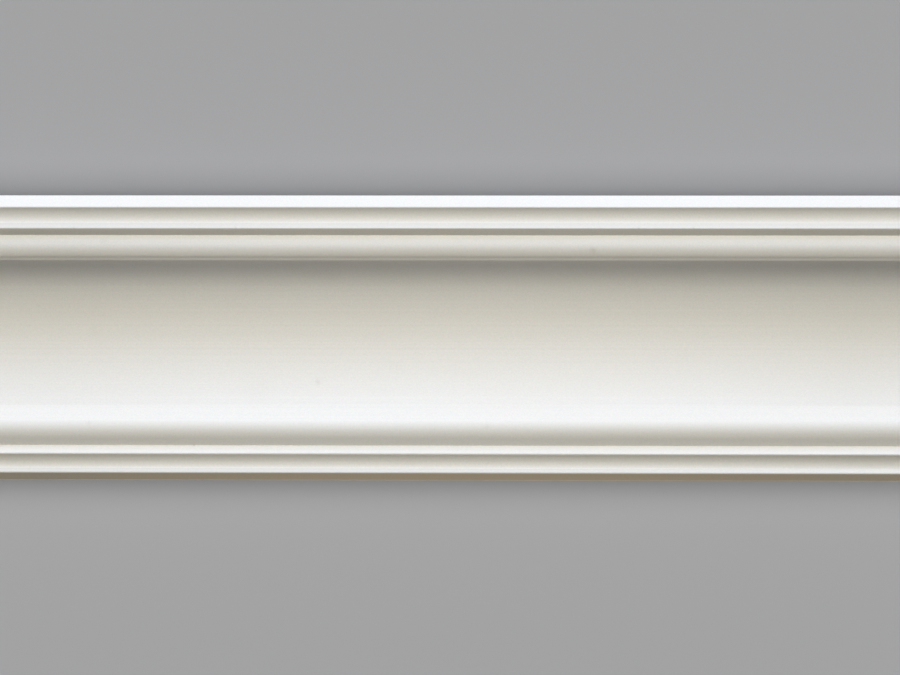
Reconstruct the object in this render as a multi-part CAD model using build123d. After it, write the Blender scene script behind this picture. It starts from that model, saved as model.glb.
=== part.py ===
from build123d import *
from math import asin, cos, degrees, hypot, radians, sin
import os

# One stock length of plaster cornice, a single casting, in millimetres.
# The section is drawn as it is fixed in a room: u runs out from the wall and v upwards, from
# the outer edge at the ceiling. The length then lies on its sprung back, face up: X runs
# along the length, Y across the face towards the ceiling edge, and Z up.
# The origin is at the middle of the box's underside.

# Stock length
STOCK_LENGTH = 2000.0

# Members of the face, from the ceiling down to the wall. A projection is measured out from
# the wall and a height up the wall.
CEILING_FILLET_HEIGHT = 9.7
UPPER_CAVETTO_PROJECTION = 6.8
UPPER_CAVETTO_HEIGHT = 5.1
UPPER_FILLET_HEIGHT = 4.5
DRIP_DEPTH = 5.3
UPPER_OVOLO_PROJECTION = 9.0
UPPER_OVOLO_HEIGHT = 9.2
COVE_FILLET_HEIGHT = 11.4
LOWER_OVOLO_PROJECTION = 10.8
LOWER_OVOLO_HEIGHT = 8.7
BEAD_FILLET_HEIGHT = 6.65
LOWER_CAVETTO_PROJECTION = 6.7
LOWER_CAVETTO_HEIGHT = 4.3
WALL_FILLET_HEIGHT = 3.5
WALL_SOFFIT_DEPTH = 7.0

# Lip between the upper ovolo and the large cove: the ovolo turns on past facing down by this
# angle, towards the wall
LIP_ANGLE = 9.0

# Large cove: the arc of an ellipse that starts behind the lip, from where it rises by its
# undercut before it turns down
COVE_PROJECTION_RADIUS = 41.8
COVE_HEIGHT_RADIUS = 60.8
COVE_UNDERCUT = 2.9

# Back and edges
SPRING_ANGLE = 45.0
LEAST_THICKNESS = 11.0
ARRIS_RADIUS = 0.4

# How near a corner of the outline lies to its marked point, rounding errors apart
MATCH_TOLERANCE = 0.001


class Moulding:
    """The face line, traced member by member from the ceiling down to the wall."""

    def __init__(self):
        self.u, self.v = 0.0, 0.0
        self.edges = []
        self.arrises = []
        self.mark_arris()

    def fillet_face(self, height):
        """A flat member that stands upright and faces the room."""
        self.line_to(self.u, self.v - height)

    def soffit(self, depth):
        """A flat member that faces the floor, stepping back towards the wall from an arris."""
        self.mark_arris()
        self.line_to(self.u - depth, self.v)

    def ovolo(self, projection, height, lip_angle=0):
        """A quarter round, from facing the room to facing down and on by the lip's angle."""
        centre = (self.u - projection, self.v)
        self.curve(centre, (projection, height), 0, -90 - lip_angle)

    def cavetto(self, projection, height):
        """A small hollow that starts at an arris, from facing down to facing the room."""
        self.mark_arris()
        centre = (self.u, self.v - height)
        self.curve(centre, (projection, height), 90, 90)

    def cove(self, projection, height, undercut):
        """The large hollow, which rises by its undercut before it turns down to the fillet."""
        start = asin(1 - undercut / height)
        self.cove_centre = (self.u - projection * cos(start), self.v - height * sin(start))
        self.curve(self.cove_centre, (projection, height), degrees(start), 180 - degrees(start))

    def curve(self, centre, radii, start, sweep):
        """An arc of an ellipse with its axes level and upright, from one angle by another."""
        self.edges.append(EllipticalCenterArc(centre, *radii, start, arc_size=sweep))
        end = radians(start + sweep)
        self.u = centre[0] + radii[0] * cos(end)
        self.v = centre[1] + radii[1] * sin(end)

    def line_to(self, u, v):
        """A straight stretch to the point (u, v)."""
        self.edges.append(Line((self.u, self.v), (u, v)))
        self.u, self.v = u, v

    def mark_arris(self):
        """Marks the present point as an outer corner, to be eased."""
        self.arrises.append(Vector(self.u, self.v))

    def is_arris(self, corner):
        """Whether a corner of the finished outline is one of the marked ones."""
        return any((corner.center() - arris).length < MATCH_TOLERANCE for arris in self.arrises)


def traced_face():
    """Every member of the face in order, down to the edge that meets the wall."""
    face = Moulding()
    face.fillet_face(CEILING_FILLET_HEIGHT)
    face.cavetto(UPPER_CAVETTO_PROJECTION, UPPER_CAVETTO_HEIGHT)
    face.fillet_face(UPPER_FILLET_HEIGHT)
    face.soffit(DRIP_DEPTH)
    face.ovolo(UPPER_OVOLO_PROJECTION, UPPER_OVOLO_HEIGHT, LIP_ANGLE)
    face.cove(COVE_PROJECTION_RADIUS, COVE_HEIGHT_RADIUS, COVE_UNDERCUT)
    face.fillet_face(COVE_FILLET_HEIGHT)
    face.ovolo(LOWER_OVOLO_PROJECTION, LOWER_OVOLO_HEIGHT)
    face.fillet_face(BEAD_FILLET_HEIGHT)
    face.cavetto(LOWER_CAVETTO_PROJECTION, LOWER_CAVETTO_HEIGHT)
    face.fillet_face(WALL_FILLET_HEIGHT)
    face.soffit(WALL_SOFFIT_DEPTH)
    face.mark_arris()
    return face


def back_offset(face, wall):
    """Distance of the sprung back from the corner where wall and ceiling meet."""
    angle = radians(SPRING_ANGLE)
    centre_u, centre_v = face.cove_centre
    centre_distance = (centre_u - wall) * sin(angle) - centre_v * cos(angle)
    cove_depth = hypot(COVE_PROJECTION_RADIUS * sin(angle), COVE_HEIGHT_RADIUS * cos(angle))
    return centre_distance - cove_depth - LEAST_THICKNESS


def section():
    """The closed section: the face, the wall seat, the sprung back and the ceiling seat."""
    face = traced_face()
    wall = face.u
    offset = back_offset(face, wall)
    face.line_to(wall, -offset / cos(radians(SPRING_ANGLE)))
    face.line_to(wall + offset / sin(radians(SPRING_ANGLE)), 0)
    face.line_to(0, 0)
    outline = make_face(Wire(face.edges))
    return fillet([corner for corner in outline.vertices() if face.is_arris(corner)], ARRIS_RADIUS)


def lying_plane():
    """The plane that the section is placed on, turned so that the back lies on the floor."""
    angle = radians(SPRING_ANGLE)
    out_from_wall = Vector(0, cos(angle), sin(angle))
    return Plane(origin=(0, 0, 0), x_dir=out_from_wall, z_dir=(-1, 0, 0))


def cornice():
    """The whole length, lying on its back with the origin under the middle of its box."""
    length = extrude(lying_plane() * section(), amount=STOCK_LENGTH / 2, both=True)
    box = length.bounding_box()
    return Pos(0, -(box.min.Y + box.max.Y) / 2, -box.min.Z) * length


os.makedirs("parts", exist_ok=True)
export_step(cornice(), "parts/cornice.step")
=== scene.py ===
"""Plaster cornice: a two metre casting, lying on its sprung back and seen from above.

The face line is traced member by member, as the section is fixed in a room, and carried
along the length with a shallow relief. Every length is in metres.
"""
import logging
from dataclasses import dataclass, field
from enum import Enum

import bpy
import numpy as np
from mathutils import Matrix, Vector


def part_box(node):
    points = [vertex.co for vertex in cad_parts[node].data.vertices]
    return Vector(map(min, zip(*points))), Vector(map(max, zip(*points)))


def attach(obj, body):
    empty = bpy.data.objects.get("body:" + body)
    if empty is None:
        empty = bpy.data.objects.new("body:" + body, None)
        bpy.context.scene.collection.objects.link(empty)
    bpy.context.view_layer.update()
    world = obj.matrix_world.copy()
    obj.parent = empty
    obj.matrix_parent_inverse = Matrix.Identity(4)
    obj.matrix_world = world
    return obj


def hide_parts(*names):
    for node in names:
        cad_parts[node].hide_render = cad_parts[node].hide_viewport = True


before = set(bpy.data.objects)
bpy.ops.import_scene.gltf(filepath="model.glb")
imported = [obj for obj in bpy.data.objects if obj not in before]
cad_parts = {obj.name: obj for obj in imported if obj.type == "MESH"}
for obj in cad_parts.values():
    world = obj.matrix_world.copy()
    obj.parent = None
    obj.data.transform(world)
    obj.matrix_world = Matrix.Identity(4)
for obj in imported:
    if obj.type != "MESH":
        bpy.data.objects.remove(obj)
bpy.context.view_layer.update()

log = logging.getLogger("cornice")

MM = 0.001

Colour = tuple[float, float, float]
Scale = tuple[float, float, float]


class Facing(Enum):
    """Where an eased arris of the section points, in degrees from straight out of the wall."""

    CEILING_AND_ROOM = 45.0
    ROOM_AND_FLOOR = -45.0
    FLOOR_AND_WALL = -135.0


class Member(Enum):
    """Members of the section, in order round it from the ceiling down and then the back."""

    CEILING_FILLET = 0
    UPPER_CAVETTO = 1
    UPPER_FILLET = 2
    DRIP = 3
    UPPER_OVOLO = 4
    COVE = 5
    COVE_FILLET = 6
    LOWER_OVOLO = 7
    BEAD_FILLET = 8
    LOWER_CAVETTO = 9
    WALL_FILLET = 10
    WALL_SOFFIT = 11
    BACK = 12


@dataclass(frozen=True)
class SectionSizes:
    """Sizes of the moulded section as cast, and how far its wall edge is worn back."""

    ceiling_fillet: float = 9.7 * MM
    upper_cavetto: tuple[float, float] = (6.8 * MM, 5.1 * MM)
    upper_fillet: float = 4.5 * MM
    drip: float = 5.3 * MM
    upper_ovolo: tuple[float, float] = (9.0 * MM, 9.2 * MM)
    lip_angle: float = 9.0
    cove: tuple[float, float] = (41.8 * MM, 60.8 * MM)
    cove_undercut: float = 2.9 * MM
    cove_fillet: float = 11.4 * MM
    lower_ovolo: tuple[float, float] = (10.8 * MM, 8.7 * MM)
    bead_fillet: float = 6.65 * MM
    lower_cavetto: tuple[float, float] = (6.7 * MM, 4.3 * MM)
    wall_fillet: float = 3.5 * MM
    wall_soffit: float = 7.0 * MM
    wall_wear: float = 0.7 * MM
    arris: float = 0.4 * MM
    spring_angle: float = 45.0
    least_thickness: float = 11.0 * MM


@dataclass
class Section:
    """The ring of points round the section, face first and then the seats and the back."""

    sizes: SectionSizes = field(default_factory=SectionSizes)
    face_step: float = 0.95 * MM
    lip_step: float = 0.4 * MM
    back_step: float = 4.5 * MM
    least_steps: int = 6
    arris_steps: int = 5

    def __post_init__(self) -> None:
        self.corner = np.zeros(2)
        self.here = np.zeros(2)
        self.stretches: list[np.ndarray] = []
        self.members: list[np.ndarray] = []
        self.member = Member.CEILING_FILLET

    def add(self, points: np.ndarray) -> None:
        """Adds points to the ring, as a stretch of the present member."""
        self.stretches.append(points)
        self.members.append(np.full(len(points), self.member.value))
        self.here = points[-1]

    def spaced(self, length: float, step: float) -> np.ndarray:
        """Places from 0 to 1 along a stretch, half a cosine wave, so close at both ends.

        Args:
            length: length of the stretch.
            step: the widest spacing wanted.

        Returns:
            The places, the first one left out, since the stretch before it ends there.
        """
        steps = max(self.least_steps, int(np.ceil(length / step)))
        return 0.5 - 0.5 * np.cos(np.pi * np.arange(1, steps + 1) / steps)

    def line_to(self, end: np.ndarray, step: float) -> None:
        """Adds a straight stretch: the start plus its share of the way to the end."""
        places = self.spaced(float(np.hypot(*(end - self.here))), step)
        self.add(self.here + places[:, None] * (end - self.here))

    def arc(
        self, centre: np.ndarray, radii: tuple[float, float], start: float, end: float, step: float
    ) -> None:
        """Adds an arc: the centre plus each radius times the cosine and sine of the angle.

        Args:
            centre: centre of the ellipse.
            radii: its level and its upright radius.
            start: angle at the start, in radians.
            end: angle at the end, in radians.
            step: the widest spacing wanted.
        """
        places = self.spaced(abs(end - start) * max(radii), step)
        angle = start + places * (end - start)
        around = np.stack([np.cos(angle), np.sin(angle)], axis=1)
        self.add(centre + around * np.array(radii))

    def ease(self, facing: Facing) -> None:
        """Rounds the present corner with a quarter circle that points the way it faces."""
        middle = np.radians(facing.value)
        inwards = np.sign([np.cos(middle), np.sin(middle)])
        centre = self.corner - self.sizes.arris * inwards
        angle = middle + np.pi / 4 * np.linspace(1, -1, self.arris_steps)
        around = np.stack([np.cos(angle), np.sin(angle)], axis=1)
        self.add(centre + self.sizes.arris * around)

    def upright(self, height: float, eased: bool = False) -> None:
        """Adds a flat member that faces the room, with an eased arris at its foot if asked."""
        self.corner = self.corner - (0.0, height)
        lift = self.sizes.arris if eased else 0.0
        self.line_to(self.corner + (0.0, lift), self.face_step)
        if eased:
            self.ease(Facing.ROOM_AND_FLOOR)

    def soffit(self, depth: float, eased: bool = False) -> None:
        """Adds a flat member that faces the floor, with an eased arris at the wall if asked."""
        self.corner = self.corner - (depth, 0.0)
        short = self.sizes.arris if eased else 0.0
        self.line_to(self.corner + (short, 0.0), self.face_step)
        if eased:
            self.ease(Facing.FLOOR_AND_WALL)

    def ovolo(self, radii: tuple[float, float], lip_angle: float = 0.0) -> None:
        """Adds a quarter round, from facing the room to facing the floor and a little on."""
        centre = self.corner - (radii[0], 0.0)
        step = self.lip_step if lip_angle else self.face_step
        self.arc(centre, radii, 0.0, -np.radians(90.0 + lip_angle), step)
        self.corner = self.here

    def cavetto(self, radii: tuple[float, float]) -> None:
        """Adds a small hollow that leaves an eased arris and ends facing the room."""
        centre = self.corner - (0.0, radii[1])
        start = np.arccos((self.here[0] - centre[0]) / radii[0])
        self.arc(centre, radii, start, np.pi, self.face_step)
        self.corner = self.here

    def large_cove(self) -> None:
        """Adds the large hollow, which starts behind the lip of the ovolo above it."""
        radii = self.sizes.cove
        start = np.arcsin(1.0 - self.sizes.cove_undercut / radii[1])
        self.cove_centre = self.corner - np.array(radii) * (np.cos(start), np.sin(start))
        self.arc(self.cove_centre, radii, start, np.pi, self.face_step)
        self.corner = self.here

    def trace_face(self) -> None:
        """Adds every member of the face, from the ceiling arris to the wall arris."""
        sizes = self.sizes
        self.ease(Facing.CEILING_AND_ROOM)
        self.upright(sizes.ceiling_fillet, eased=True)
        self.member = Member.UPPER_CAVETTO
        self.cavetto(sizes.upper_cavetto)
        self.member = Member.UPPER_FILLET
        self.upright(sizes.upper_fillet, eased=True)
        self.member = Member.DRIP
        self.soffit(sizes.drip)
        self.member = Member.UPPER_OVOLO
        self.ovolo(sizes.upper_ovolo, sizes.lip_angle)
        self.member = Member.COVE
        self.large_cove()
        self.member = Member.COVE_FILLET
        self.upright(sizes.cove_fillet)
        self.member = Member.LOWER_OVOLO
        self.ovolo(sizes.lower_ovolo)
        self.member = Member.BEAD_FILLET
        self.upright(sizes.bead_fillet, eased=True)
        self.member = Member.LOWER_CAVETTO
        self.cavetto(sizes.lower_cavetto)
        self.member = Member.WALL_FILLET
        self.upright(sizes.wall_fillet, eased=True)
        self.member = Member.WALL_SOFFIT
        self.soffit(sizes.wall_soffit - sizes.wall_wear, eased=True)

    def trace_back(self) -> None:
        """Adds the wall seat, the sprung back and the ceiling seat."""
        sizes = self.sizes
        angle = np.radians(sizes.spring_angle)
        outwards = np.array([np.sin(angle), -np.cos(angle)])
        wall = self.corner[0]
        from_room_corner = (self.cove_centre - (wall, 0.0)) @ outwards
        depth = np.hypot(*(np.array(sizes.cove) * outwards))
        offset = from_room_corner - depth - sizes.least_thickness
        self.member = Member.BACK
        self.line_to(np.array([wall, -offset / np.cos(angle)]), self.back_step)
        self.line_to(np.array([wall + offset / np.sin(angle), 0.0]), self.back_step)
        self.line_to(np.array([-sizes.arris, 0.0]), self.back_step)

    def laid_down(self, lowest: float, edge: float) -> np.ndarray:
        """Turns the ring so that the back lies level, and moves it to its place.

        Args:
            lowest: height of the back.
            edge: how far across the ceiling arris reaches.

        Returns:
            The ring's places across the face and upwards, one row for each point.
        """
        angle = np.radians(self.sizes.spring_angle)
        ring = np.concatenate(self.stretches)
        across = ring @ np.array([np.cos(angle), np.sin(angle)])
        upwards = ring @ np.array([np.sin(angle), -np.cos(angle)])
        across += edge - across.max()
        upwards += lowest - upwards.min()
        return np.stack([across, upwards], axis=1)

    def ring(self, lowest: float, edge: float) -> tuple[np.ndarray, np.ndarray]:
        """Traces the section and lays it down.

        Args:
            lowest: height of the back.
            edge: how far across the ceiling arris reaches.

        Returns:
            The ring of points, and for each point the number of the member it lies on.
        """
        self.trace_face()
        self.trace_back()
        return self.laid_down(lowest, edge)[:-1], np.concatenate(self.members)[:-1]


@dataclass(frozen=True)
class Mark:
    """A small dent, nick or smudge in the face, by where it lies and how large it is."""

    along: float
    across: float
    radius: float
    depth: float
    soil: float = 0.0


@dataclass(frozen=True)
class Groove:
    """A shallow hollow along the upper ovolo, by its distance up from the lip."""

    place: float
    depth: float
    width: float


@dataclass(frozen=True)
class PaintedShade:
    """How much painted shade a member gets in the middle of the length and towards each end, where
    the light falls off.
    """

    left: float
    middle: float
    right: float


@dataclass
class Casting:
    """The cornice itself: the section carried along the length, with its relief and marks."""

    marks: tuple[Mark, ...]
    # painted shade: each member darker towards both ends of the length, where the light falls off
    painted_shading: dict[Member, PaintedShade]
    shade_reach: float = 0.22
    section: Section = field(default_factory=Section)
    station_step: float = 12.5 * MM
    mark_stations: int = 7
    mark_reach: float = 1.6
    station_digits: int = 6
    wave_depth: float = 0.06 * MM
    wave_lengths: tuple[float, ...] = (0.43, 0.67, 0.97)
    wave_girths: tuple[float, ...] = (0.043, 0.067, 0.11)
    drag_depth: float = 0.012 * MM
    drag_girths: tuple[float, ...] = (1.9 * MM, 2.6 * MM, 3.7 * MM, 5.3 * MM)
    grooves: tuple[Groove, ...] = (
        Groove(1.7 * MM, 0.32 * MM, 1.1 * MM),
        Groove(11.3 * MM, 0.11 * MM, 2.1 * MM),
    )
    back_depth: float = 0.45 * MM
    back_lengths: tuple[float, ...] = (51.0 * MM, 83.0 * MM, 137.0 * MM)
    back_girths: tuple[float, ...] = (9.0 * MM, 14.0 * MM, 33.0 * MM)
    end_ease: float = 0.3 * MM
    end_taper: float = 0.004
    end_backing: float = 0.5
    # share of painted shade at the dark top of the lower cavetto
    hollow_shade: float = 0.16
    seed: int = 7

    def __post_init__(self) -> None:
        self.low, self.high = (np.array(corner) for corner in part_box("cornice"))
        self.random = np.random.default_rng(self.seed)

    def stations(self) -> np.ndarray:
        """Places along the length: an even row, with more of them through each mark."""
        count = int(round((self.high[0] - self.low[0]) / self.station_step))
        even = np.linspace(self.low[0] + self.end_ease, self.high[0] - self.end_ease, count)
        spread = np.linspace(-self.mark_reach, self.mark_reach, self.mark_stations)
        near = [mark.along + mark.radius * spread for mark in self.marks]
        return np.unique(np.round(np.concatenate([even, *near]), self.station_digits))

    def waves(self, places: np.ndarray, lengths: tuple[float, ...]) -> np.ndarray:
        """Sum of sine waves of these lengths with drawn phases, scaled to lie within 1.

        Args:
            places: where the sum is wanted.
            lengths: wave lengths.

        Returns:
            The sum at each place.
        """
        phases = self.random.uniform(0, 2 * np.pi, len(lengths))
        turns = 2 * np.pi * places[..., None] / np.array(lengths) + phases
        return np.sin(turns).mean(axis=-1)

    def relief(self, along: np.ndarray, ring: np.ndarray, member: np.ndarray) -> np.ndarray:
        """Depth of the surface below the true section.

        The face has slow waves along the length times slow waves round the ring, fine drag
        lines that change with the ring alone, and a bell-shaped dent for each mark. The
        grooves are bell-shaped across: the one by the lip leaves a thread along it, and the
        other makes the ovolo a little flatter. The back has coarser waves both ways.

        Args:
            along: the stations.
            ring: the ring's points.
            member: the number of the member that each point lies on.

        Returns:
            One depth for each station and ring point.
        """
        girth = np.concatenate([[0], np.cumsum(np.hypot(*np.diff(ring, axis=0).T))])
        slow = self.waves(along, self.wave_lengths)[:, None]
        slow = slow * self.waves(girth, self.wave_girths)[None, :]
        drag = self.waves(girth, self.drag_girths)[None, :]
        face = self.wave_depth * (0.5 - 0.5 * slow) + self.drag_depth * (0.5 - 0.5 * drag)
        rough = self.waves(along, self.back_lengths)[:, None]
        rough = rough * self.waves(girth, self.back_girths)[None, :]
        back = self.back_depth * (0.5 - 0.5 * rough)
        lip = girth[np.flatnonzero(member == Member.UPPER_OVOLO.value)[-1]]
        for groove in self.grooves:
            from_middle = (girth - lip + groove.place) / groove.width
            face = face + groove.depth * np.exp(-from_middle ** 2)
        depth = np.where(member[None, :] == Member.BACK.value, back, face)
        for mark in self.marks:
            depth = depth + mark.depth * self.bell(mark, along, ring)
        return depth

    def bell(self, mark: Mark, along: np.ndarray, ring: np.ndarray) -> np.ndarray:
        """Bell of a mark: e to the minus twice the square of the distance over its radius."""
        distance = (along[:, None] - mark.along) ** 2 + (ring[None, :, 0] - mark.across) ** 2
        return np.exp(-2.0 * distance / mark.radius ** 2)

    def soil(self, along: np.ndarray, ring: np.ndarray) -> np.ndarray:
        """How soiled each point is, from the marks that hold dirt."""
        soiled = np.zeros((len(along), len(ring)))
        for mark in self.marks:
            soiled = np.maximum(soiled, mark.soil * self.bell(mark, along, ring))
        return soiled

    def painted_shade(self, along: np.ndarray, member: np.ndarray) -> np.ndarray:
        """How much painted shade each point gets: the member's share in the middle, plus the
        square of the distance along times what is added towards that end, where the light falls
        off.

        Args:
            along: the stations.
            member: the number of the member that each point lies on.

        Returns:
            One share for each station and ring point.
        """
        reach = np.clip(along / self.shade_reach, -1.0, 1.0)[:, None]
        shares = np.zeros((len(along), len(member)))
        for place, painted_shade in self.painted_shading.items():
            end = np.where(reach < 0, painted_shade.left, painted_shade.right)
            shares[:, member == place.value] = painted_shade.middle + (end - painted_shade.middle) * reach ** 2
        return shares

    def brown_and_shade(self, member: np.ndarray) -> np.ndarray:
        """How brown and darker each ring point is: the wall soffit wholly, and, as painted shade,
        the dark top of the hollow above it by a share that falls to nothing half way down.

        Args:
            member: the number of the member that each point lies on.

        Returns:
            One share for each ring point.
        """
        share = (member == Member.WALL_SOFFIT.value).astype(float)
        # painted shade on the dark top of the lower cavetto, falling to nothing half way down
        hollow = member == Member.LOWER_CAVETTO.value
        falling = np.linspace(self.hollow_shade, -self.hollow_shade, hollow.sum())
        share[hollow] = np.clip(falling, 0, 1)
        return share

    def build(self) -> bpy.types.Object:
        """Makes the mesh: each station holds the ring, drawn inwards by the relief. The two
        end rings are also drawn towards their middle, which eases the edges of the ends.

        Returns:
            The piece that stands for the casting.
        """
        ring, member = self.section.ring(self.low[2], self.high[1])
        inner = self.stations()
        along = np.concatenate([[self.low[0]], inner, [self.high[0]]])
        tangent = np.roll(ring, -1, axis=0) - np.roll(ring, 1, axis=0)
        inwards = np.stack([-tangent[:, 1], tangent[:, 0]], axis=1)
        inwards /= np.linalg.norm(inwards, axis=1)[:, None]
        depth = self.relief(along, ring, member)
        flat = ring[None, :, :] + inwards[None, :, :] * depth[:, :, None]
        points = np.empty((len(along), len(ring), 3))
        points[:, :, 0] = along[:, None]
        points[:, :, 1:] = flat
        middle = flat[[0, -1]].mean(axis=1, keepdims=True)
        points[[0, -1], :, 1:] += self.end_taper * (middle - flat[[0, -1]])
        mesh = self.grid_mesh(points)
        everywhere = np.ones((len(along), 1))
        self.attribute(mesh, "soil", self.soil(along, ring), 0.0)
        # painted shade: darker towards both ends of the length, where the light falls off, and on
        # the two narrow fillets all along
        self.attribute(mesh, "painted_shade", self.painted_shade(along, member), 0.0)
        # the wall soffit brown all over, and painted shade at the top of the lower cavetto
        self.attribute(mesh, "brown_and_shade", everywhere * self.brown_and_shade(member), 0.0)
        backing = everywhere * (member == Member.BACK.value)
        self.attribute(mesh, "backing", backing, self.end_backing)
        piece = bpy.data.objects.new("plaster_casting", mesh)
        bpy.context.scene.collection.objects.link(piece)
        return piece

    def end_face(self, across: np.ndarray) -> list[list[int]]:
        """Fills the ring with triangles, like a zip between its upper and its lower side.

        Args:
            across: how far across the face each ring point lies.

        Returns:
            Three ring points for each triangle, in the order of the ring.
        """
        first, last = int(across.argmax()), int(across.argmin())
        upper = np.arange(first, last + 1)
        lower = np.arange(first, last - len(across) - 1, -1) % len(across)
        triangles = []
        above = below = 0
        while above + 1 < len(upper) or below + 1 < len(lower):
            no_more_below = below + 1 == len(lower)
            more_above = above + 1 < len(upper)
            if no_more_below or (
                more_above and across[upper[above + 1]] >= across[lower[below + 1]]
            ):
                triangles.append([upper[above], upper[above + 1], lower[below]])
                above += 1
            else:
                triangles.append([upper[above], lower[below + 1], lower[below]])
                below += 1
        return [triangle for triangle in triangles if len(set(triangle)) == 3]

    def grid_mesh(self, points: np.ndarray) -> bpy.types.Mesh:
        """Joins each ring to the next with quads, and closes both ends.

        Args:
            points: places by station and ring point.

        Returns:
            The closed mesh, smooth but for its ends.
        """
        stations, around = points.shape[:2]
        number = np.arange(stations * around).reshape(stations, around)
        following = np.roll(number, -1, axis=1)
        quads = np.stack([number[:-1], following[:-1], following[1:], number[1:]], axis=-1)
        faces = quads.reshape(-1, 4).tolist()
        left = [triangle[::-1] for triangle in self.end_face(points[0, :, 1])]
        right = self.end_face(points[-1, :, 1])
        ends = number[0][left].tolist() + number[-1][right].tolist()
        mesh = bpy.data.meshes.new("plaster_casting")
        mesh.from_pydata(points.reshape(-1, 3).tolist(), [], faces + ends)
        smooth = np.ones(len(mesh.polygons), dtype=bool)
        smooth[-len(ends):] = False
        mesh.polygons.foreach_set("use_smooth", smooth)
        mesh.update()
        return mesh

    def attribute(self, mesh: bpy.types.Mesh, name: str, values: np.ndarray, end: float) -> None:
        """Stores one number for each point of the mesh under a name.

        Args:
            mesh: the casting's mesh.
            name: the attribute's name.
            values: one number for each station and ring point.
            end: the number that all of an end face has instead.
        """
        values[[0, -1]] = end
        layer = mesh.attributes.new(name, "FLOAT", "POINT")
        layer.data.foreach_set("value", values.astype(np.float32).ravel())


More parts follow.
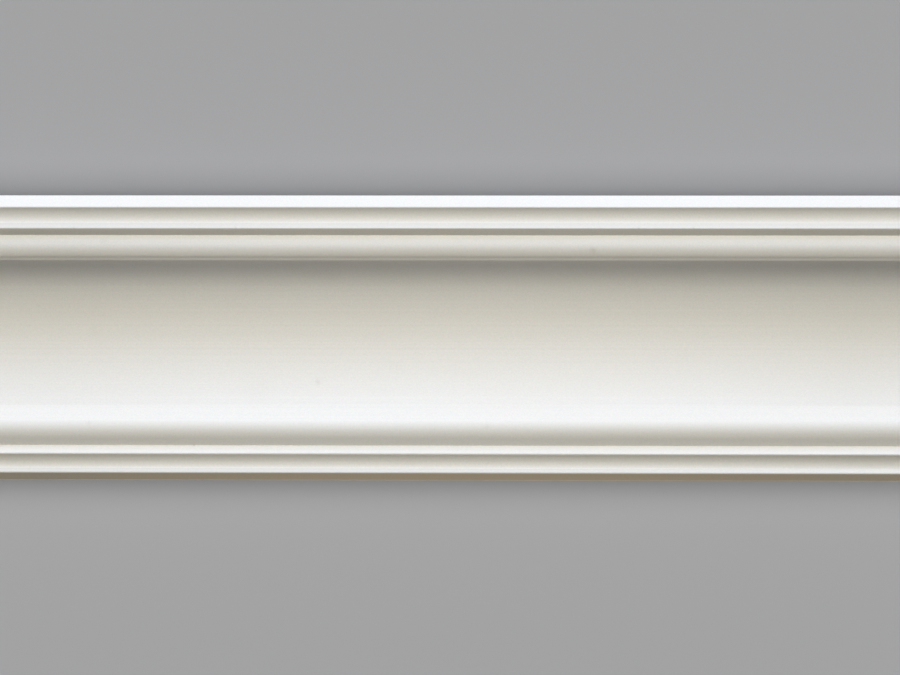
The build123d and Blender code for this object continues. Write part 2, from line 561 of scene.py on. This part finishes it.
@dataclass(frozen=True)
class PlasterFinish:
    """Matt cast plaster: an off-white with faint lengthwise streaks and a fine grain."""

    pale_colour: Colour = (0.868, 0.852, 0.815)
    streak_colour: Colour = (0.836, 0.820, 0.782)
    patch_colour: Colour = (0.845, 0.824, 0.776)
    streak_scale: Scale = (0.4, 800.0, 800.0)
    streak_range: tuple[float, float] = (0.3, 0.7)
    patch_scale: Scale = (4.0, 24.0, 24.0)
    patch_range: tuple[float, float] = (0.45, 0.8)
    grain_scale: Scale = (1100.0, 1100.0, 1100.0)
    grey_grain: float = 0.08
    tinted_grain: float = 0.1
    # colour of the painted shade towards the ends of the length and on the two narrow fillets
    painted_shade_colour: Colour = (0.49, 0.48, 0.44)
    # darker brown of the wall soffit, also used as painted shade at the top of the lower cavetto
    darker_brown_colour: Colour = (0.72, 0.625, 0.485)
    soil_colour: Colour = (0.52, 0.49, 0.43)
    back_colour: Colour = (0.62, 0.60, 0.55)
    grit_scale: Scale = (900.0, 900.0, 900.0)
    grit_strength: float = 0.06
    grit_height: float = 0.4 * MM
    roughness: float = 0.78
    specular: float = 0.25

    def material(self) -> bpy.types.Material:
        """Builds the node tree of the finish.

        Returns:
            The material, which reads Object coordinates and four attributes of the mesh.
        """
        material = bpy.data.materials.new("cast_plaster")
        material.use_nodes = True
        tree = material.node_tree
        nodes, links = tree.nodes, tree.links
        shader = nodes["Principled BSDF"]
        shader.inputs["Roughness"].default_value = self.roughness
        shader.inputs["Specular IOR Level"].default_value = self.specular
        place = nodes.new("ShaderNodeTexCoord").outputs["Object"]

        streaks = self.noise(tree, place, self.streak_scale, detail=2.0).outputs["Fac"]
        streak_share = self.ramp(tree, streaks, self.streak_range)
        streaked = self.mix(tree, streak_share, self.pale_colour, self.streak_colour)
        patches = self.noise(tree, place, self.patch_scale, detail=2.0).outputs["Fac"]
        patch_share = self.ramp(tree, patches, self.patch_range)
        face = self.mix(tree, patch_share, streaked, self.patch_colour)
        # the wall soffit brown, and painted shade at the top of the lower cavetto
        browned_and_shaded = self.mix(tree, self.named(tree, "brown_and_shade"), face, self.darker_brown_colour)
        # painted shade: darker towards both ends of the length and on the two narrow fillets
        shaded = self.mix(tree, self.named(tree, "painted_shade"), browned_and_shaded, self.painted_shade_colour)
        backing = self.mix(tree, self.named(tree, "backing"), shaded, self.back_colour)
        soiled = self.mix(tree, self.named(tree, "soil"), backing, self.soil_colour)
        links.new(self.grained(tree, place, soiled), shader.inputs["Base Color"])

        grit = self.noise(tree, place, self.grit_scale, detail=4.0).outputs["Fac"]
        bump = nodes.new("ShaderNodeBump")
        bump.inputs["Strength"].default_value = self.grit_strength
        bump.inputs["Distance"].default_value = self.grit_height
        links.new(grit, bump.inputs["Height"])
        links.new(bump.outputs["Normal"], shader.inputs["Normal"])
        return material

    def noise(
        self, tree: bpy.types.NodeTree, place: bpy.types.NodeSocket, scale: Scale, detail: float
    ) -> bpy.types.ShaderNode:
        """Adds a noise whose cells are stretched by unlike scales along the three axes.

        Args:
            tree: the node tree.
            place: the coordinates to read.
            scale: cells for each metre along each axis.
            detail: number of finer layers.

        Returns:
            The noise's node.
        """
        mapping = tree.nodes.new("ShaderNodeMapping")
        mapping.inputs["Scale"].default_value = scale
        tree.links.new(place, mapping.inputs["Vector"])
        noise = tree.nodes.new("ShaderNodeTexNoise")
        noise.inputs["Scale"].default_value = 1.0
        noise.inputs["Detail"].default_value = detail
        tree.links.new(mapping.outputs["Vector"], noise.inputs["Vector"])
        return noise

    def grained(
        self, tree: bpy.types.NodeTree, place: bpy.types.NodeSocket, colour: bpy.types.NodeSocket
    ) -> bpy.types.NodeSocket:
        """Gives a colour a fine grain: it is multiplied by 1, plus the grey and the tinted
        share of how far a grey and a coloured noise are from their middle values.

        Args:
            tree: the node tree.
            place: the coordinates to read.
            colour: the colour without grain.

        Returns:
            The colour with grain.
        """
        noise = self.noise(tree, place, self.grain_scale, detail=1.0)
        middle = 1.0 - (self.grey_grain + self.tinted_grain) / 2
        tinted = tree.nodes.new("ShaderNodeVectorMath")
        tinted.operation = "MULTIPLY_ADD"
        tinted.inputs[1].default_value = (self.tinted_grain,) * 3
        tinted.inputs[2].default_value = (middle,) * 3
        tree.links.new(noise.outputs["Color"], tinted.inputs[0])
        factor = tree.nodes.new("ShaderNodeVectorMath")
        factor.operation = "MULTIPLY_ADD"
        factor.inputs[1].default_value = (self.grey_grain,) * 3
        tree.links.new(noise.outputs["Fac"], factor.inputs[0])
        tree.links.new(tinted.outputs["Vector"], factor.inputs[2])
        product = tree.nodes.new("ShaderNodeVectorMath")
        product.operation = "MULTIPLY"
        tree.links.new(colour, product.inputs[0])
        tree.links.new(factor.outputs["Vector"], product.inputs[1])
        return product.outputs["Vector"]

    def ramp(
        self, tree: bpy.types.NodeTree, value: bpy.types.NodeSocket, limits: tuple[float, float]
    ) -> bpy.types.NodeSocket:
        """Stretches the values between two limits to run from 0 to 1.

        Args:
            tree: the node tree.
            value: the value to stretch.
            limits: the value that becomes 0 and the one that becomes 1.

        Returns:
            The stretched value.
        """
        stretch = tree.nodes.new("ShaderNodeMapRange")
        stretch.inputs["From Min"].default_value = limits[0]
        stretch.inputs["From Max"].default_value = limits[1]
        tree.links.new(value, stretch.inputs["Value"])
        return stretch.outputs["Result"]

    def named(self, tree: bpy.types.NodeTree, name: str) -> bpy.types.NodeSocket:
        """Reads one of the mesh's own attributes."""
        reader = tree.nodes.new("ShaderNodeAttribute")
        reader.attribute_name = name
        return reader.outputs["Fac"]

    def mix(
        self,
        tree: bpy.types.NodeTree,
        share: bpy.types.NodeSocket,
        first: bpy.types.NodeSocket | Colour,
        second: bpy.types.NodeSocket | Colour,
    ) -> bpy.types.NodeSocket:
        """Blends two colours by a share.

        Args:
            tree: the node tree.
            share: 0 for the first colour and 1 for the second.
            first: a colour or a socket that gives one.
            second: a colour or a socket that gives one.

        Returns:
            The blended colour.
        """
        blend = tree.nodes.new("ShaderNodeMix")
        blend.data_type = "RGBA"
        tree.links.new(share, blend.inputs["Factor"])
        for source, socket in ((first, blend.inputs["A"]), (second, blend.inputs["B"])):
            if isinstance(source, tuple):
                socket.default_value = (*source, 1.0)
            else:
                tree.links.new(source, socket)
        return blend.outputs["Result"]


@dataclass(frozen=True)
class SoftLight:
    """A round soft lamp, by the angle it stands above the ceiling side's horizon."""

    name: str
    height_angle: float
    spread: float
    strength: float
    colour: Colour
    distance: float = 20.0


@dataclass(frozen=True)
class FloorLight:
    """A distant lamp almost straight above that lights the floor."""

    name: str
    spread: float
    lean: float
    strength: float


@dataclass
class Studio:
    """The floor, the lamps and the camera, which looks straight down on the face."""

    floor_size: float = 60.0
    floor_drop: float = 0.2 * MM
    floor_colour: Colour = (0.398, 0.398, 0.404)
    frame_width: float = 0.49366
    camera_distance: float = 6.0
    aim: tuple[float, float, float] = (0.0, 0.454 * MM, 35.0 * MM)
    camera_lean: float = 3.46
    camera_roll: float = 0.0675
    sensor: float = 36.0
    lamps: tuple[SoftLight, ...] = (
        SoftLight("key", 61.6, 28.0, 2.275, (1.0, 0.975, 0.889)),
        SoftLight("back", 10.8, 51.2, 2.245, (0.635, 0.744, 1.0)),
        SoftLight("fill", 174.0, 12.0, 0.44, (1.0, 0.818, 0.648)),
    )
    floor_lamps: tuple[FloorLight, ...] = (
        FloorLight("overhead_lamp", 29.0, -2.2, 0.86),
        FloorLight("leaning_lamp", 65.0, 5.0, 2.0),
    )
    backdrop_colour: Colour = (0.37, 0.37, 0.373)
    camera_sight: float = 100.0

    def floor(self) -> bpy.types.Object:
        """A plain pale floor under the casting.

        Returns:
            The floor's object.
        """
        half = self.floor_size / 2
        corners = [(-half, -half), (half, -half), (half, half), (-half, half)]
        mesh = bpy.data.meshes.new("floor")
        mesh.from_pydata([(x, y, -self.floor_drop) for x, y in corners], [], [(0, 1, 2, 3)])
        floor = bpy.data.objects.new("floor", mesh)
        bpy.context.scene.collection.objects.link(floor)
        material = bpy.data.materials.new("pale_floor")
        material.use_nodes = True
        shader = material.node_tree.nodes["Principled BSDF"]
        shader.inputs["Base Color"].default_value = (*self.floor_colour, 1.0)
        shader.inputs["Roughness"].default_value = 1.0
        shader.inputs["Specular IOR Level"].default_value = 0.0
        mesh.materials.append(material)
        return floor

    def light(self, casting: bpy.types.Object, floor: bpy.types.Object) -> None:
        """Hangs the lamps: the soft ones light the casting alone, the others the floor.

        Args:
            casting: the piece that the lamps light.
            floor: the floor under it.
        """
        for lamp in self.lamps:
            disc = bpy.data.lights.new(lamp.name, "AREA")
            disc.shape = "DISK"
            half = np.radians(lamp.spread / 2)
            disc.size = 2 * lamp.distance * np.tan(half)
            disc.energy = lamp.strength * np.pi * (lamp.distance / np.cos(half)) ** 2
            disc.color = lamp.colour
            holder = self.hang(disc, casting, casting)
            turn = Matrix.Rotation(np.radians(lamp.height_angle - 90.0), 4, "X")
            aim = Matrix.Translation((0.0, 0.0, self.aim[2]))
            holder.matrix_world = aim @ turn @ Matrix.Translation((0.0, 0.0, lamp.distance))
            holder.visible_camera = False
        for lamp in self.floor_lamps:
            sun = bpy.data.lights.new(lamp.name, "SUN")
            sun.angle = np.radians(lamp.spread)
            sun.energy = lamp.strength
            holder = self.hang(sun, floor, casting)
            holder.rotation_euler = (np.radians(lamp.lean), 0.0, 0.0)

    def hang(
        self, light: bpy.types.Light, lit: bpy.types.Object, shading: bpy.types.Object
    ) -> bpy.types.Object:
        """Puts a lamp in the scene.

        Args:
            light: the lamp.
            lit: the one object it lights.
            shading: the one object that casts a shadow in it.

        Returns:
            The lamp's holder.
        """
        holder = bpy.data.objects.new(light.name, light)
        bpy.context.scene.collection.objects.link(holder)
        receivers = bpy.data.collections.new(f"lit_by_{light.name}")
        receivers.objects.link(lit)
        holder.light_linking.receiver_collection = receivers
        blockers = bpy.data.collections.new(f"shades_{light.name}")
        blockers.objects.link(shading)
        holder.light_linking.blocker_collection = blockers
        return holder

    def surroundings(self) -> None:
        """A room that gives no light of its own, seen by the camera in the floor's own grey."""
        world = bpy.data.worlds.new("room")
        world.use_nodes = True
        tree = world.node_tree
        unlit = tree.nodes["Background"]
        unlit.inputs["Strength"].default_value = 0.0
        seen = tree.nodes.new("ShaderNodeBackground")
        seen.inputs["Color"].default_value = (*self.backdrop_colour, 1.0)
        ray = tree.nodes.new("ShaderNodeLightPath")
        mix = tree.nodes.new("ShaderNodeMixShader")
        tree.links.new(ray.outputs["Is Camera Ray"], mix.inputs["Fac"])
        tree.links.new(unlit.outputs["Background"], mix.inputs[1])
        tree.links.new(seen.outputs["Background"], mix.inputs[2])
        tree.links.new(mix.outputs["Shader"], tree.nodes["World Output"].inputs["Surface"])
        bpy.context.scene.world = world

    def camera(self) -> None:
        """A long lens straight above the face, with the ceiling edge at the top."""
        data = bpy.data.cameras.new("camera")
        data.sensor_width = self.sensor
        data.lens = self.sensor * self.camera_distance / self.frame_width
        data.clip_end = self.camera_sight
        camera = bpy.data.objects.new("camera", data)
        lean = Matrix.Rotation(np.radians(self.camera_lean), 4, "Y")
        roll = Matrix.Rotation(np.radians(self.camera_roll), 4, "Z")
        back_off = Matrix.Translation((0.0, 0.0, self.camera_distance))
        camera.matrix_world = Matrix.Translation(self.aim) @ lean @ back_off @ roll
        bpy.context.scene.collection.objects.link(camera)
        bpy.context.scene.camera = camera


def main() -> None:
    """Builds the casting, dresses it and sets up the studio round it."""
    bpy.context.scene.view_settings.view_transform = "Standard"
    spots = (
        Mark(0.0785, 0.0482, 2.2 * MM, 0.05 * MM, soil=0.37),
        Mark(-0.0735, -0.0242, 1.8 * MM, 0.04 * MM, soil=0.29),
        Mark(0.0208, -0.0484, 1.8 * MM, 0.02 * MM, soil=0.2),
        Mark(-0.1985, 0.0030, 4.0 * MM, 0.0, soil=0.06),
        Mark(-0.1906, 0.0534, 3.0 * MM, 0.0, soil=0.13),
        Mark(-0.1980, -0.0467, 1.3 * MM, 0.03 * MM, soil=0.18),
        Mark(-0.0309, -0.0157, 4.6 * MM, 0.0, soil=0.035),
        Mark(-0.1050, -0.0283, 12.0 * MM, 0.0, soil=0.045),
        Mark(0.2233, 0.0380, 1.6 * MM, 0.02 * MM, soil=0.15),
    )
    nicks = tuple(
        Mark(along, across, radius=0.8 * MM, depth=0.25 * MM, soil=0.4)
        for along, across in (
            (-0.1832, 0.0720), (-0.1404, -0.0588), (-0.0516, 0.0720), (0.2249, 0.0720),
            (-0.2072, 0.0603), (-0.1179, 0.0603), (0.1037, 0.0603), (0.1338, 0.0603),
        )
    )
    # painted shade by member: darker towards both ends of the length, where the light falls off,
    # and the two narrow fillets darker all along
    painted_shading = {
        Member.CEILING_FILLET: PaintedShade(0.04, 0.02, 0.04),
        Member.UPPER_CAVETTO: PaintedShade(0.08, 0.0, 0.05),
        Member.UPPER_FILLET: PaintedShade(0.31, 0.24, 0.27),
        Member.DRIP: PaintedShade(0.21, 0.03, 0.2),
        Member.UPPER_OVOLO: PaintedShade(0.11, 0.0, 0.07),
        Member.COVE: PaintedShade(0.12, 0.01, 0.15),
        Member.COVE_FILLET: PaintedShade(0.01, 0.0, 0.03),
        Member.LOWER_OVOLO: PaintedShade(0.06, 0.0, 0.09),
        Member.BEAD_FILLET: PaintedShade(0.01, 0.0, 0.045),
        Member.LOWER_CAVETTO: PaintedShade(0.09, 0.0, 0.24),
        Member.WALL_FILLET: PaintedShade(0.31, 0.25, 0.165),
        Member.WALL_SOFFIT: PaintedShade(0.64, 0.11, 0.47),
    }
    casting = Casting(spots + nicks, painted_shading)
    piece = casting.build()
    piece.data.materials.append(PlasterFinish().material())
    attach(piece, "root")
    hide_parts("cornice")
    log.info("%s: %d faces", piece.name, len(piece.data.polygons))

    studio = Studio()
    floor = studio.floor()
    studio.light(piece, floor)
    studio.surroundings()
    studio.camera()
    log.info("studio: %d lamps", len(studio.lamps) + len(studio.floor_lamps))


if __name__ == "__main__":
    logging.basicConfig(level=logging.INFO, format="%(name)s: %(message)s")
    main()
